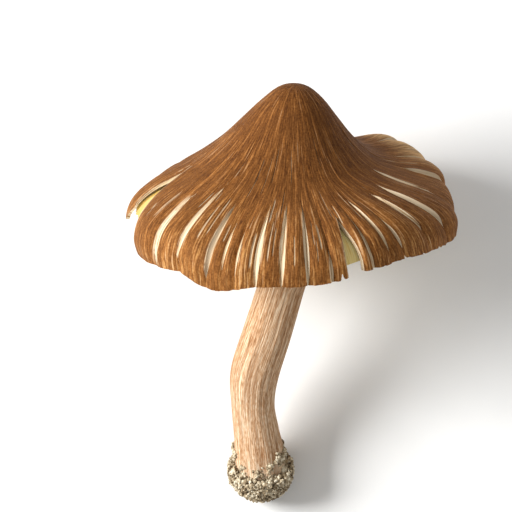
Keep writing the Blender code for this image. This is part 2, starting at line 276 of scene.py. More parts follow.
# Fibres of the stem: cells round and along it, height, and seed
STEM_FIBRES = [(9, 3, 0.10, 21), (27, 5, 0.08, 22), (48, 6, 0.07, 23)]

# Soil
SOIL_CENTRE = np.array([-7.6, 0.0, -54.9])
SOIL_RADIUS = 7.2
# The lump under the crumbs: how far inside the soil's surface it lies, and its tone
LUMP_INSET = 0.35
LUMP_TONE = -0.7
# How high the soil reaches, as a share of its radius above its centre, at the front and elsewhere,
# and how narrow the front is
SOIL_TOP_FRONT = -0.20
SOIL_TOP = 0.50
SOIL_FRONT_NARROWNESS = 1.5
# The bowl above that edge: the share of the radius that it takes away, over what height, and over
# what height the crumbs in it thin out
BOWL_DEPTH = 0.45
BOWL_OVER = (-0.05, 0.2)
BOWL_CRUMBS_OVER = (-0.05, 0.25)
# Crumbs: how many places for one and how far off its height each lies, the smallest radius and how it
# spreads, the largest radius, how uneven they are, how they are squashed, and how far they stand off
# the surface, which large ones do less
SOIL_GRAINS = 2600
GRAIN_JITTER = 0.02
GRAIN_SIZE = 0.22
GRAIN_SPREAD = 0.50
LARGEST_GRAIN = 0.95
GRAIN_ROUGHNESS = 0.22
GRAIN_SQUASH = (0.75, 1.2)
GRAIN_INSET = 0.2
GRAIN_OFF = (-0.1, 0.9)
GRAIN_STAYS_IN = 1.4
SOIL_SHARP_DEG = 50
# Clumps stuck to the stem above the soil: azimuth, height over the soil's centre, and how many crumbs
CLUMPS = [
    (264, 0.5, 26), (288, -0.2, 20), (294, 2.2, 28), (318, 3.6, 30), (338, 3.6, 20), (352, 5.0, 8),
    (222, 1.6, 14), (195, 4.0, 18), (238, -1.8, 10), (20, 5.2, 18), (60, 4.6, 18), (100, 5.5, 18),
    (140, 4.8, 18), (172, 5.2, 18),
]
# How far a clump spreads round the stem in radians and along it, the radii of its crumbs, how far
# they stand off the stem as a share of those, and their tones
CLUMP_SPREAD = 0.10
CLUMP_TALL = 0.6
CLUMP_GRAINS = (0.25, 0.6)
CLUMP_OFF = (-0.2, 0.8)
CLUMP_TONES = (-1, 0.7)

# Camera: how far above the mushroom's own horizon it looks from, and the photo's frame
VIEW_DEG = 17
PHOTO_PX = 512
MM_PER_PX = 0.23
RIM_CENTRE_PX = (294, 242)
CAMERA_DISTANCE = 2.4
SENSOR = 36


def smooth(low, high, value):
    """0 up to low, 1 from high, and a smooth step between."""
    share = np.clip((value - low) / (high - low), 0, 1)
    return share * share * (3 - 2 * share)


def curve_between(a, b, c, d, t):
    """The smooth curve through a, b, c and d, a share t of the way from b to c."""
    return 0.5 * (2 * b + (c - a) * t + (2 * a - 5 * b + 4 * c - d) * t**2 + (3 * b - a - 3 * c + d) * t**3)


def along(points, share):
    """Points at shares of the way along a smooth curve through evenly counted points."""
    points = np.asarray(points, float)
    place = np.clip(share, 0, 1) * (len(points) - 1)
    i = np.minimum(place.astype(int), len(points) - 2)
    t = (place - i)[..., None]
    a, b, c, d = (points[np.clip(i + k, 0, len(points) - 1)] for k in (-1, 0, 1, 2))
    return curve_between(a, b, c, d, t)


def grain(x, y, cells_x, cells_y, seed):
    """Smooth noise from -1 to 1. x wraps at 1 and has cells_x cells, and y from 0 to 1 has cells_y."""
    table = np.random.default_rng(seed).uniform(-1, 1, (cells_x, cells_y + 2))
    x, y = np.broadcast_arrays((x % 1) * cells_x, np.clip(y, 0, 1) * cells_y)
    i, j = x.astype(int) % cells_x, y.astype(int)
    u, v = smooth(0, 1, x % 1), smooth(0, 1, y % 1)
    near = table[i, j] * (1 - u) + table[(i + 1) % cells_x, j] * u
    far = table[i, j + 1] * (1 - u) + table[(i + 1) % cells_x, j + 1] * u
    return near * (1 - v) + far * v


def rim_height(azimuth):
    """How far the rim stands above or below height 0 there."""
    count = len(RIM_HEIGHTS)
    place = (azimuth / (2 * math.pi) * count) % count
    i = place.astype(int)
    t = place - i
    a, b, c, d = (np.asarray(RIM_HEIGHTS)[(i + k) % count] for k in (-1, 0, 1, 2))
    return curve_between(a, b, c, d, t)


def near_swell(azimuth):
    """1 on the swelling of the cap at its back right, and falling to 0 away from it."""
    return np.exp(SWELL_NARROWNESS * (np.cos(azimuth - math.radians(SWELL_AZIMUTH)) - 1))


def bed(label, s):
    """The cap's even outer surface, without its lobes. label is the azimuth in degrees at which the
    fibre through the point meets the rim."""
    label, s = np.broadcast_arrays(np.asarray(label, float), np.asarray(s, float))
    at_rim = np.radians(label)
    sweep = (SWEEP_DEG + SWEEP_RIGHT_DEG * np.cos(at_rim)) * np.cos(at_rim)
    azimuth = np.radians(label - sweep * np.minimum(1, (1 - s) / SWEEP_LENGTH))
    broad = (0.5 + 0.5 * np.cos(azimuth - math.radians(BROAD_AZIMUTH)))[..., None]
    steep_side = along(STEEP_SIDE, s)
    side = steep_side + (along(BROAD_SIDE, s) - steep_side) * broad
    r = CAP_RADIUS * side[..., 0]
    h = CAP_HEIGHT * side[..., 1] + rim_height(azimuth) * smooth(RIM_WAVE_FROM, 1, s)
    h = h + SWELL * near_swell(azimuth) * smooth(SWELL_FROM, SWELL_TO, s)
    return np.stack([r * np.cos(azimuth), r * np.sin(azimuth), h], axis=-1)


def outward(label, s):
    """The direction that faces out of the cap there."""
    step = 0.01
    s = np.maximum(s, 2 * step)
    inner = np.minimum(s, 1 - step)
    round_it = bed(label + 1, s) - bed(label - 1, s)
    down_it = bed(label, inner + step) - bed(label, inner - step)
    normal = np.cross(down_it, round_it)
    return normal / np.linalg.norm(normal, axis=-1, keepdims=True)


def flesh(s):
    """How thick the cap is there."""
    return FLESH_AT_APEX + (FLESH_AT_RIM - FLESH_AT_APEX) * smooth(0, THIN_FROM, s)


def laid(points):
    """Upright millimetres as metres in the lying part's frame, with nothing under the floor."""
    x, y, z = np.moveaxis(points, -1, 0)
    world = LAID_AT + x[..., None] * np.array([1, 0, 0]) + y[..., None] * TO_BACK + z[..., None] * TO_APEX
    world[..., 2] = np.maximum(world[..., 2], 0)
    return world * MM


def mesh_piece(name, grids, materials, sharp_deg=40):
    """One piece from grids of upright points. A grid is a dict: points (rows, columns, 3), slot, values
    by name for the materials, keep, a mask of its cells, and flip, which turns its faces round."""
    vertices, faces, slots = [], [], []
    values = {}
    count = 0
    for grid in grids:
        points = grid["points"]
        rows, columns = points.shape[:2]
        index = count + np.arange(rows * columns).reshape(rows, columns)
        quads = np.stack([index[:-1, :-1], index[:-1, 1:], index[1:, 1:], index[1:, :-1]], axis=-1)
        quads = quads[grid["keep"]] if "keep" in grid else quads.reshape(-1, 4)
        faces.append(quads[:, ::-1] if grid.get("flip") else quads)
        slots.append(np.full(len(quads), grid.get("slot", 0)))
        vertices.append(laid(points).reshape(-1, 3))
        for key, value in grid["values"].items():
            width = (3,) if np.ndim(value) == 3 else ()
            whole = np.broadcast_to(value, (rows, columns, *width))
            values.setdefault(key, []).append(whole.reshape(-1, *width))
        count += rows * columns
    mesh = bpy.data.meshes.new(name)
    mesh.from_pydata(np.concatenate(vertices).tolist(), [], np.concatenate(faces).tolist())
    mesh.polygons.foreach_set("material_index", np.concatenate(slots).astype(np.int32))
    for key, parts in values.items():
        joined = np.concatenate(parts).astype(np.float32)
        kind = "FLOAT_VECTOR" if joined.ndim == 2 else "FLOAT"
        attribute = mesh.attributes.new(key, kind, "POINT")
        attribute.data.foreach_set("vector" if joined.ndim == 2 else "value", joined.ravel())
    for material in materials:
        mesh.materials.append(material)
    bm = bmesh.new()
    bm.from_mesh(mesh)
    bmesh.ops.remove_doubles(bm, verts=bm.verts, dist=MERGED_WITHIN_M)
    bmesh.ops.dissolve_degenerate(bm, edges=bm.edges, dist=NO_LENGTH_M)
    bm.to_mesh(mesh)
    bm.free()
    mesh.shade_smooth()
    mesh.set_sharp_from_angle(angle=math.radians(sharp_deg))
    piece = bpy.data.objects.new(name, mesh)
    bpy.context.scene.collection.objects.link(piece)
    return piece


def fibre_place(label, s):
    """Where a point is for the materials: round the mushroom as a circle, and along its fibres."""
    label, s = np.broadcast_arrays(np.radians(label), s)
    return np.stack([np.cos(label), np.sin(label), s], axis=-1)


def apart(label, at):
    """How many degrees a label lies from an azimuth, from -180 to 180."""
    return (label - at + 180) % 360 - 180


def gap_of(tear, s):
    """The width of a tear at each s, in mm at the rim's radius."""
    _, start, end, widest, at_rim = tear
    share = np.clip((s - start) / (end - start), 0, 1)
    gap = widest * np.sin(math.pi * share) + at_rim * share**2
    return np.where((s > start) & (s <= end), np.maximum(gap, 0), 0)


def cracks_in(label, s):
    """How deep the short cracks in the skin are at each point, from 0 to 1."""
    draw = random.Random(RANDOM_SEED + 5)
    cracks = list(CRACKS_SEEN)
    for _ in range(CRACKS):
        start = draw.uniform(*CRACK_STARTS)
        azimuth = draw.uniform(0, 360)
        end = min(CRACKS_TO, start + draw.uniform(*CRACK_LENGTHS))
        cracks.append((azimuth, start, end, CRACK_WIDTH))
    deep = np.zeros(np.broadcast(label, s).shape)
    for at, start, end, width in cracks:
        off = apart(label, at) * math.pi / 180 * CAP_RADIUS
        from_middle = np.abs(s - (start + end) / 2) / ((end - start) / 2)
        deep = np.maximum(deep, np.exp(-((off / width) ** 2)) * (1 - smooth(0.5, 1, from_middle)))
    return deep


def relief(label, s):
    """The height of the skin's fibres, in mm."""
    total = 0
    for cells_x, cells_y, height, seed in FIBRES:
        total = total + height * grain(label / 360, s, cells_x, cells_y, seed)
    return total * smooth(*FIBRES_OVER, s)


def rim_cut(label):
    """How far short of the rim the ragged edge stops, as a share of the way from the apex."""
    right = 0.5 + 0.5 * np.cos(np.radians(label - RAGGED_AZIMUTH))
    rough = 0
    for cells, depth, seed in RAGGED_STEPS:
        rough = rough + depth * np.abs(grain(label / 360, 0.5, cells, 1, seed))
    cut = (RAGGED + (RAGGED_RIGHT - RAGGED) * right**RAGGED_NARROWNESS) * rough
    for at, depth, half_width in NOTCHES:
        off = np.abs(apart(label, at)) / half_width
        cut = cut + depth * np.maximum(0, 1 - off)
    for first, last, lower in HANGING:
        cut = cut - lower * ((label % 360 > first) & (label % 360 < last))
    return cut


def gap_between(tear, s):
    """The width of the opening right through the cap under a tear, which is 0 under a narrow one."""
    gap = gap_of(tear, s)
    through = tear[3] + tear[4] > THROUGH_FROM
    bank = CURLED_BANK_WIDTH if tear is TEARS[0] else BANK_WIDTH
    return np.maximum(0, gap - 2 * bank) if through else 0 * gap


def make_cap(materials):
    """The cap: an outer skin with fibres and cracks, its torn edges, its rim and its underside."""
    lobes = len(TEARS)
    draw = random.Random(RANDOM_SEED + 1)
    raises = [LOBE_RAISE * draw.random() for _ in range(lobes)]
    arches = [LOBE_ARCH * draw.uniform(*ARCH_RANGE) for _ in range(lobes)]
    raises[CURLED_LOBE] = CURLED_LOBE_RAISE
    draw = random.Random(RANDOM_SEED + 6)
    lips = [LIP * draw.choice([-1, 1]) * draw.uniform(*LIP_RANGE) for _ in range(lobes)]
    lips = [abs(lip) if tear[0] in FAR_SIDE_PROUD else lip for lip, tear in zip(lips, TEARS)]
    tones = [draw.uniform(-1, 1) for _ in range(lobes)]
    azimuths = [tear[0] for tear in TEARS] + [TEARS[0][0] + 360]
    upper = np.linspace(0, OUTER_FROM, UPPER_ROWS, endpoint=False)
    rows = np.concatenate([upper, np.linspace(OUTER_FROM, 1, OUTER_ROWS)])[:, None]
    t = np.linspace(0, 1, LOBE_COLUMNS + 1)[None, :]
    skins, unders, worths = [], [], []
    for i in range(lobes):
        left, right = TEARS[i], TEARS[(i + 1) % lobes]
        gaps = gap_of(left, rows), gap_of(right, rows)
        open_left, open_right = (smooth(0, OPEN_FROM_GAP, gap) for gap in gaps)

        def labels(gap_left, gap_right):
            first = azimuths[i] + np.degrees(gap_left / 2 / CAP_RADIUS)
            last = azimuths[i + 1] - np.degrees(gap_right / 2 / CAP_RADIUS)
            return first + (last - first) * t

        label = labels(*gaps)
        s = rows
        if i == CURLED_LOBE:
            start = TEARS[0][1]
            s = np.where(rows > start, start + (rows - start) * CURLED_LOBE_LENGTH, rows)
        round_by = CURLED_END if i == CURLED_LOBE else ROUNDED_END
        end_left = smooth(*ROUNDED_OVER, left[4]) * (1 - t) ** CORNER_POWER
        end_right = smooth(*ROUNDED_OVER, right[4]) * t**CORNER_POWER
        ends = end_left + end_right
        s = s - (round_by * ends + rim_cut(label)) * smooth(END_FROM, 1, rows)
        outer = smooth(LOBE_FROM, 1, s)
        edge = 1 - (1 - t) ** CLOSED_POWER * (1 - open_left) - t**CLOSED_POWER * (1 - open_right)
        hump = (1 - (2 * t - 1) ** 2) * (1 - ARCH_LOST * smooth(ARCH_FADES_FROM, 1, s))
        proud = (arches[i] * hump + raises[i] * edge) * outer
        proud = proud + lips[i] * open_left * (1 - t) ** LIP_POWER
        proud = proud - lips[(i + 1) % lobes] * open_right * t**LIP_POWER
        crack = cracks_in(label, s) * edge
        rise = proud + relief(label, s) * edge - CRACK_DEPTH * crack
        skins.append(bed(label, s) + outward(label, s) * rise[..., None])
        to_left = t * LOBE_ARC + PALE_EDGE * 4 * (1 - open_left)
        to_right = (1 - t) * LOBE_ARC + PALE_EDGE * 4 * (1 - open_right)
        pale_left = PALE_LEFT * np.exp(-to_left / PALE_EDGE)
        pale_right = PALE_RIGHT * np.exp(-to_right / PALE_EDGE)
        pale = np.maximum(pale_left, pale_right) * (1 - (1 - PALE_EDGE_FRONT) * smooth(*PALE_FADES, label))
        tone = tones[i] * smooth(*TONES_OVER, s) * edge
        # The tone also carries the swelling's paleness, partly its own tan and partly painted light in the
        # umbo's shade
        tone = tone + BACK_TAN_AND_PAINTED_LIGHT * near_swell(np.radians(label)) * smooth(*BACK_TAN_AND_PAINTED_LIGHT_OVER, s)
        below = labels(gap_between(left, rows), gap_between(right, rows))
        thick = flesh(s) * (1 - CURLED_THINNER * t**3) if i == CURLED_LOBE else flesh(s)
        unders.append(bed(below, s) + outward(below, s) * (proud - thick)[..., None])
        worths.append({
            "tone": tone,
            "crack": np.maximum(crack, pale),
            "fibre": fibre_place(label, s),
        })
    grids = []
    share = np.linspace(0, 1, WALL_COLUMNS)
    across, down_edge = share[None, :, None], share[:, None, None]
    for i in range(lobes):
        skin, under, worth = skins[i], unders[i], worths[i]
        grids.append({"points": skin, "slot": 0, "values": worth})
        grids.append({"points": under, "slot": 2, "values": worth, "flip": True})
        rim = skin[-1][None] * (1 - down_edge) + under[-1][None] * down_edge
        values = {key: value[-1][None] for key, value in worth.items()}
        grids.append({"points": rim, "slot": 1, "values": values})
        before = i - 1
        gap = gap_of(TEARS[i], rows)[:, 0]
        torn = (gap[:-1] > 0) | (gap[1:] > 0)
        keep = np.broadcast_to(torn[:, None], (len(torn), WALL_COLUMNS - 1))
        if gap_between(TEARS[i], rows).max() > 0:
            for j, column, flip in ((i, 0, True), (before, -1, False)):
                wall = skins[j][:, column, None] * (1 - across) + unders[j][:, column, None] * across
                values = {key: value[:, column, None] for key, value in worths[j].items()}
                values["fibre"] = fibre_place(azimuths[i] + WALL_SPREAD * share[None, :], rows)
                grids.append({"points": wall, "slot": 1, "values": values, "keep": keep, "flip": flip})
            continue
        left_bank, right_bank = skins[before][:, -1, None], skins[i][:, 0, None]
        depth = np.minimum(TROUGH_DEPTH, TROUGH_SHARE * gap)[:, None] * (1 - np.abs(2 * share - 1) ** 4)
        down = outward(azimuths[i], rows)
        floor = left_bank * (1 - across) + right_bank * across - down * depth[..., None]
        values = {key: value[:, 0, None] for key, value in worth.items()}
        spread = np.degrees((share[None, :] - 0.5) * gap[:, None] / CAP_RADIUS)
        values["fibre"] = fibre_place(azimuths[i] + spread, rows)
        grids.append({"points": floor, "slot": 1, "values": values, "keep": keep})
        if gap[-1] > 0:
            end = floor[-1][None] * (1 - down_edge) + under[-1, 0] * down_edge
            values = {key: value[-1][None] for key, value in values.items()}
            grids.append({"points": end, "slot": 1, "values": values})
    return mesh_piece("cap_skin", grids, materials)


def make_gills(material):
    """The gills: thin wavy blades, long and short in turn, under the thin layer that they grow from."""
    grids = []
    rows = np.linspace(0, 1, GILL_ROWS)[:, None]
    fall = np.array(GILL_FALL)[None, :]
    side = np.array(GILL_SIDE)[None, :]
    for i in range(GILLS):
        start = GILL_STARTS[i % len(GILL_STARTS)]
        middle = 360 * (i + 0.5) / GILLS
        near = float(smooth(*CURLED_STARTS, middle))
        curled = near * (1 - float(smooth(*CURLED_STOPS, middle)))
        shorter = CURLED_SHORTER * near * (1 - float(smooth(*CURLED_SHORT_STOPS, middle)))
        s = start + (GILL_TO - shorter - start) * rows
        deep = smooth(start, start + GILL_DEEPENS, s)
        deep = deep * (1 - GILL_SHALLOWER * smooth(GILL_SHALLOWS_FROM, GILL_TO, s))
        deep = deep * (SECOND_GILL_DEPTH if i % 2 else 1)
        r = np.linalg.norm(bed(middle, s)[..., :2], axis=-1)
        wave = GILL_WAVE * grain(i * GILL_WAVE_STEP, s, *GILL_WAVE_CELLS, GILL_WAVE_SEED)
        wave = wave * fall * smooth(*GILL_WAVE_OVER, s)
        label = middle + np.degrees((side * GILL_THICKNESS / 2 + wave) / r)
        below = flesh(s) + 2 * GAP + GILL_LAYER * 0.5 + (GILL_LAYER * 0.5 + GILL_DEPTH * deep) * fall
        lift = curled * (CURLED_LOBE_RAISE + GAP) * smooth(LOBE_FROM, THIN_FROM, s)
        below = below - lift * (1 - CURLED_EDGE_BEHIND * fall)
        points = bed(label, s) - outward(label, s) * below[..., None]
        values = {"fibre": fibre_place(label, s + 0 * fall), "fall": fall + 0 * s}
        grids.append({"points": points, "values": values})
    label = np.linspace(0, 360, LAYER_COLUMNS + 1)[None, :]
    s = np.linspace(GILL_FROM, GILL_TO, LAYER_ROWS)[:, None]
    for extra, flip in ((0, False), (GILL_LAYER, True)):
        points = bed(label, s) - outward(label, s + 0 * label) * (flesh(s) + 2 * GAP + extra)[..., None]
        values = {"fibre": fibre_place(label, s + 0 * label), "fall": np.zeros(points.shape[:2])}
        grids.append({"points": points, "values": values, "flip": flip})
    return mesh_piece("gill_blades", grids, [material], sharp_deg=70)


def make_stem(material):
    """The stem: a bent tube with long fibres and shallow furrows."""
    step = 0.01
    share = np.linspace(0, 1, STEM_ROWS + 1)[:, None]
    turn = np.linspace(0, 1, STEM_COLUMNS + 1)[None, :]
    x, z, radius = np.moveaxis(along(STEM_LINE, share), -1, 0)
    run = along(STEM_LINE, share + step)[..., :2] - along(STEM_LINE, share - step)[..., :2]
    run = run / np.linalg.norm(run, axis=-1, keepdims=True)
    across = np.stack([-run[..., 1], 0 * run[..., 0], run[..., 0]], axis=-1)
    ridges = 0
    for cells_x, cells_y, height, seed in STEM_FIBRES:
        ridges = ridges + height * grain(turn, share, cells_x, cells_y, seed)
    reach = (radius + ridges) * np.where((share == 0) | (share == 1), 0, 1)
    angle = 2 * math.pi * (turn - STEM_TWIST * share)
    centre = np.stack([x, 0 * x, z], axis=-1)
    sideways = across * np.cos(angle)[..., None] + np.array([0, 1, 0]) * np.sin(angle)[..., None]
    points = centre + sideways * reach[..., None]
    values = {"fibre": fibre_place(360 * turn, share), "height": ridges}
    return mesh_piece("stem_flesh", [{"points": points, "values": values}], [material])


def soil_top(azimuth):
    """How high the soil reaches there, as a share of its radius above its centre."""
    front = (0.5 - 0.5 * math.sin(azimuth)) ** SOIL_FRONT_NARROWNESS
    return SOIL_TOP + (SOIL_TOP_FRONT - SOIL_TOP) * front


def hollowed(over):
    """The share of the soil's radius that is left that high over the bowl's edge."""
    return 1 - BOWL_DEPTH * float(smooth(*BOWL_OVER, over))


def make_soil(material):
    """The soil: a lump hollowed to a bowl round the foot, under many crumbs, with clumps above it."""
    draw = random.Random(RANDOM_SEED + 7)
    joined = bmesh.new()
    tone = joined.verts.layers.float.new("tone")

    def add_crumb(centre, radius, level):
        crumb = bmesh.ops.create_icosphere(joined, subdivisions=1, radius=radius)["verts"]
        squash = [draw.uniform(*GRAIN_SQUASH) for _ in range(3)]
        for vertex in crumb:
            stretch = 1 + draw.uniform(-GRAIN_ROUGHNESS, GRAIN_ROUGHNESS)
            vertex.co = Vector(c * k * stretch for c, k in zip(vertex.co, squash)) + Vector(centre)
            vertex[tone] = level

    lump = bmesh.ops.create_icosphere(joined, subdivisions=4, radius=SOIL_RADIUS - LUMP_INSET)["verts"]
    for vertex in lump:
        height = vertex.co.z / SOIL_RADIUS
        over = height - soil_top(math.atan2(vertex.co.y, vertex.co.x))
        vertex.co *= hollowed(over)
        vertex.co += Vector(SOIL_CENTRE)
        vertex[tone] = LUMP_TONE
    golden_angle = math.pi * (3 - math.sqrt(5))
    for i in range(SOIL_GRAINS):
        height = -1 + (1 + SOIL_TOP) * (i + 0.5) / SOIL_GRAINS + draw.uniform(-GRAIN_JITTER, GRAIN_JITTER)
        turn = (golden_angle * i) % (2 * math.pi)
        radius = min(LARGEST_GRAIN, GRAIN_SIZE * math.exp(abs(draw.gauss(0, GRAIN_SPREAD))))
        away = SOIL_RADIUS - GRAIN_INSET + draw.uniform(*GRAIN_OFF) * (1 - radius / GRAIN_STAYS_IN)
        level = draw.uniform(-1, 1)
        over = height - soil_top(turn)
        if over > draw.uniform(*BOWL_CRUMBS_OVER):
            continue
        away = away * hollowed(over)
        ring = math.sqrt(max(0.0, 1 - height * height))
        direction = np.array([ring * math.cos(turn), ring * math.sin(turn), height])
        add_crumb(SOIL_CENTRE + direction * away, radius, level)
    line = np.array(STEM_LINE)
    for azimuth, height, count in CLUMPS:
        z = SOIL_CENTRE[2] + height
        middle = np.interp(-z, -line[:, 1], line[:, 0])
        reach = np.interp(-z, -line[:, 1], line[:, 2])
        for _ in range(count):
            turn = math.radians(azimuth) + draw.gauss(0, CLUMP_SPREAD)
            radius = draw.uniform(*CLUMP_GRAINS)
            away = reach + draw.uniform(*CLUMP_OFF) * radius
            spot = (middle + away * math.cos(turn), away * math.sin(turn), z + draw.gauss(0, CLUMP_TALL))
            add_crumb(spot, radius, draw.uniform(*CLUMP_TONES))
    mesh = bpy.data.meshes.new("soil_crumbs")
    joined.to_mesh(mesh)
    joined.free()
    points = np.empty(len(mesh.vertices) * 3)
    mesh.vertices.foreach_get("co", points)
    mesh.vertices.foreach_set("co", laid(points.reshape(-1, 3)).ravel())
    mesh.materials.append(material)
    mesh.shade_smooth()
    mesh.set_sharp_from_angle(angle=math.radians(SOIL_SHARP_DEG))
    piece = bpy.data.objects.new("soil_crumbs", mesh)
    bpy.context.scene.collection.objects.link(piece)
    return piece


# Looks. A list of colours gives each with its place from 0 to 1.
DULL_SHINE = 0.08
STREAK_ROUGHNESS = 0.6
# Streaks of even width: cells at the apex, and the more that take over, with where they do
APEX_STREAKS = 13
MORE_STREAKS = [(28, 0.2, 0.35), (54, 0.45, 0.65)]
DARK_BROWN = (0.075, 0.024, 0.005)
BROWN = (0.185, 0.067, 0.014)
MID_BROWN = (0.300, 0.120, 0.030)
TAN = (0.470, 0.235, 0.075)
PALE_TAN = (0.64, 0.38, 0.16)
# Pale tan of the swelling, partly its own colour and partly painted light where the umbo shades it
SWELL_TAN_AND_PAINTED_LIGHT = (0.90, 0.60, 0.30)
CREAM = (0.640, 0.500, 0.330)
SKIN_COLOURS = [(0.38, DARK_BROWN), (0.47, BROWN), (0.56, MID_BROWN), (0.66, TAN), (0.78, PALE_TAN)]
TORN_COLOURS = [(0.36, (0.300, 0.165, 0.065)), (0.46, CREAM), (0.66, (0.740, 0.610, 0.430))]
UNDERSIDE_COLOURS = [(0.30, (0.50, 0.35, 0.16)), (0.60, (0.72, 0.56, 0.32))]
GILL_COLOURS = [(0.30, (0.660, 0.450, 0.130)), (0.46, (0.850, 0.670, 0.260)), (0.70, (0.90, 0.79, 0.42))]
GILL_EDGE = (0.50, 0.33, 0.10)
STEM_COLOURS = [
    (0.38, (0.300, 0.145, 0.060)), (0.46, (0.520, 0.305, 0.165)),
    (0.53, (0.670, 0.460, 0.290)), (0.63, (0.800, 0.640, 0.460)),
]
STEM_LINES = (0.270, 0.120, 0.045)
SOIL_COLOURS = [
    (0.22, (0.105, 0.070, 0.038)), (0.40, (0.290, 0.220, 0.135)),
    (0.54, (0.480, 0.390, 0.260)), (0.74, (0.780, 0.700, 0.540)),
]
FLOOR_COLOURS = [(0.3, (0.86, 0.86, 0.85)), (0.7, (0.90, 0.90, 0.89))]

# Floor and light. Places and sizes are in metres.
FLOOR_SIZE = 1.5
WORLD_STRENGTH = 0.50
LAMP_PLACE = (-0.90, 0.10, 0.62)
LAMP_AIM = (0, 0, 0.03)
LAMP_SIZE = 0.5
LAMP_POWER = 20.0


class Shader:
    """A material's node tree, with short ways to add and join its nodes."""

    def __init__(self, name, roughness):
        self.material = bpy.data.materials.new(name)
        self.material.use_nodes = True
        self.tree = self.material.node_tree
        self.surface = self.tree.nodes["Principled BSDF"]
        self.surface.inputs["Roughness"].default_value = roughness
        self.surface.inputs["Specular IOR Level"].default_value = DULL_SHINE

    def node(self, kind, settings=(), **inputs):
        """A node. An input is a value or another node's output. Its name has _ for each space, or is i
        and its number."""
        made = self.tree.nodes.new("ShaderNode" + kind)
        for key, value in dict(settings).items():
            setattr(made, key, value)
        for key, value in inputs.items():
            numbered = key[0] == "i" and key[1:].isdigit()
            socket = made.inputs[int(key[1:]) if numbered else key.replace("_", " ")]
            if isinstance(value, bpy.types.NodeSocket):
                self.tree.links.new(value, socket)
            else:
                socket.default_value = value
        return made

    def read(self, name):
        """A value that the mesh holds at each point: a vector for fibre, and a number otherwise."""
        made = self.node("Attribute", {"attribute_name": name})
        return made.outputs["Vector" if name == "fibre" else "Fac"]

    def streaks(self, around, lengthwise, detail=2.0):
        """Noise drawn out along the fibres, around cells from side to side of the circle."""
        cells = (around, around, lengthwise)
        place = self.node("VectorMath", {"operation": "MULTIPLY"}, i0=self.read("fibre"), i1=cells)
        return self.noise(place.outputs[0], 1.0, detail, Roughness=STREAK_ROUGHNESS)

    def noise(self, place, scale, detail, **inputs):
        """Noise from 0 to 1 at a place, with scale cells to a unit."""
        return self.node("TexNoise", Vector=place, Scale=scale, Detail=detail, **inputs).outputs["Fac"]

    def even_streaks(self, s, finer, lengthwise, detail):
        """Streaks that stay about as wide all the way from the apex to the rim."""
        streaks = self.streaks(APEX_STREAKS * finer, lengthwise, detail)
        for around, low, high in MORE_STREAKS:
            share = self.grade(s, low, high)
            kept = self.math("MULTIPLY", streaks, self.math("SUBTRACT", 1.0, share))
            added = self.math("MULTIPLY", self.streaks(around * finer, lengthwise, detail), share)
            streaks = self.math("ADD", kept, added)
        return streaks

    def thin_lines(self, streaks, width):
        """1 where the streaks cross their middle value, falling to 0 where they are a width off it."""
        off = self.math("ABSOLUTE", self.math("SUBTRACT", streaks, 0.5), 0.0)
        return self.grade(off, 0.0, width, 1.0, 0.0)

    def math(self, operation, first, second):
        """The result of a named operation on two values."""
        return self.node("Math", {"operation": operation}, i0=first, i1=second).outputs[0]

    def weigh(self, *parts):
        """The sum of values, each times its weight."""
        total, *others = [self.math("MULTIPLY", value, weight) for value, weight in parts]
        for other in others:
            total = self.math("ADD", total, other)
        return total

    def ramp(self, factor, stops):
        """A colour from a factor, by (position, colour) stops."""
        made = self.node("ValToRGB", Fac=factor)
        elements = made.color_ramp.elements
        while len(elements) < len(stops):
            elements.new(0.5)
        for element, (position, colour) in zip(elements, stops):
            element.position = position
            element.color = (*colour, 1)
        return made.outputs["Color"]

    def grade(self, value, low, high, to_low=0.0, to_high=1.0):
        """The value moved from one range to another, and held to it."""
        ends = {"From_Min": low, "From_Max": high, "To_Min": to_low, "To_Max": to_high}
        return self.node("MapRange", Value=value, **ends).outputs["Result"]

    def mix(self, factor, first, second):
        """A colour turned by a factor into the second, which is a plain one."""
        made = self.node("Mix", {"data_type": "RGBA"}, i0=factor, i6=first, i7=(*second, 1))
        return made.outputs[2]

    def finish(self, colour, bump=None, distance=0.05, strength=1.0):
        """Joins the colour, and the bump if given, to the surface. distance is in mm."""
        self.tree.links.new(colour, self.surface.inputs["Base Color"])
        if bump is not None:
            raised = self.node("Bump", Height=bump, Distance=distance * MM, Strength=strength)
            self.tree.links.new(raised.outputs[0], self.surface.inputs["Normal"])
        return self.material


